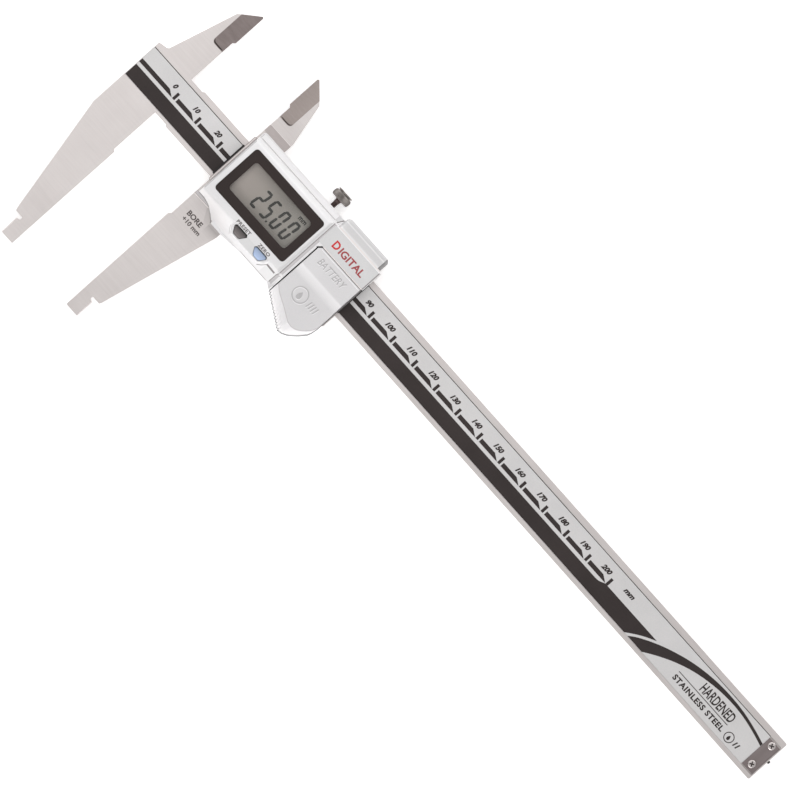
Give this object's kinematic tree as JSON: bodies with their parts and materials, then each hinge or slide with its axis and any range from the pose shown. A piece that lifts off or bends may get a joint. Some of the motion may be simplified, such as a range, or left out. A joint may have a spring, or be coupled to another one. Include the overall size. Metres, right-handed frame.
{
  "type": "digital caliper",
  "caption": "Digital caliper with a steel beam, outside and knife-edge inside jaws, and a sliding display housing with keys, thumb rest and knurled clamp screw.",
  "frame": {"origin": "middle of the caliper's length and width, at the level of the slider's back", "axes": "+X along the beam away from the fixed jaws, +Y towards the knife jaws, +Z out of the display"},
  "size_m": [0.2902, 0.104, 0.0148],
  "materials": {
    "hardened_steel": "satin ground",
    "slider_steel": "satin ground",
    "scale_board": "matte",
    "scale_laminate": "semi-gloss silver with dark print",
    "end_steel": "satin",
    "dark_screw": "blackened",
    "screw_steel": "satin",
    "clamp_steel": "dark satin",
    "black_rubber": "matte",
    "bronze": "satin",
    "housing_silver": "fine satin silver",
    "cover_silver": "fine satin silver",
    "lid_silver": "fine satin silver",
    "bezel_dark": "gloss",
    "window_clear": "clear",
    "lcd_face": "grey-green liquid crystal",
    "lcd_foil": "matte foil",
    "inner_plastic": "matte",
    "elastomer": "matte",
    "circuit_board": "solder mask",
    "chip_black": "matte",
    "crystal_can": "bright",
    "button_black": "satin",
    "button_blue": "satin",
    "plate_light": "matte light grey",
    "battery_can": "bright",
    "contact_metal": "bright"
  },
  "bodies": {
    "beam": {"main_beam": "hardened_steel", "scale_plate": "scale_board", "scale_cover": "scale_laminate", "end_plate": "end_steel", "end_plate_screws": "dark_screw", "end_bumper": "black_rubber"},
    "slider": {"slider_frame": "slider_steel", "gib_strip": "bronze", "gib_set_screws": "dark_screw", "wiper_plate": "slider_steel", "front_wiper": "black_rubber", "rear_wiper": "black_rubber", "display_housing": "housing_silver", "housing_gasket": "black_rubber", "housing_screws": "screw_steel", "display_bezel": "bezel_dark", "display_window": "window_clear", "lcd_glass": "lcd_face", "lcd_reflector": "lcd_foil", "lcd_holder": "inner_plastic", "zebra_connectors": "elastomer", "main_pcb": "circuit_board", "processor_chip": "chip_black", "crystal": "crystal_can", "detector_board": "circuit_board", "board_connector": "inner_plastic", "key_membrane": "elastomer", "snap_domes": "screw_steel", "name_plate": "plate_light", "data_connector": "inner_plastic", "connector_cover": "cover_silver", "battery_case": "housing_silver", "battery_lid": "lid_silver", "battery": "battery_can", "battery_lid_gasket": "black_rubber", "battery_contact_neg": "contact_metal", "battery_contact_pos": "contact_metal", "battery_lid_screws": "screw_steel"},
    "preset_button": {"preset_button": "button_black"},
    "zero_button": {"zero_button": "button_blue"},
    "clamp_pad": {"clamp_pad": "bronze"},
    "clamp_screw": {"clamp_screw": "clamp_steel"}
  },
  "joints": [
    {"name": "slider_travel", "type": "slide", "parent": "beam", "child": "slider", "axis": [1, 0, 0], "range_m": [-0.025, 0.175]},
    {"name": "preset_button_press", "type": "slide", "parent": "slider", "child": "preset_button", "axis": [0, 0, -1], "range_m": [0, 0.0004], "stiffness_N_per_m": 600},
    {"name": "zero_button_press", "type": "slide", "parent": "slider", "child": "zero_button", "axis": [0, 0, -1], "range_m": [0, 0.0004], "stiffness_N_per_m": 600},
    {"name": "clamp_advance", "type": "slide", "parent": "slider", "child": "clamp_pad", "axis": [0, 1, 0], "range_m": [-0.000075, 0.0009]},
    {"name": "clamp_turn", "type": "hinge", "parent": "clamp_pad", "child": "clamp_screw", "pos_m": [-0.07215, 0.02585, 0.00395], "axis": [0, 1, 0], "range_deg": [-60, 720]}
  ],
  "couplings": [
    {"joint": "clamp_turn", "follows": "clamp_advance", "rad_per_m": 13963}
  ]
}
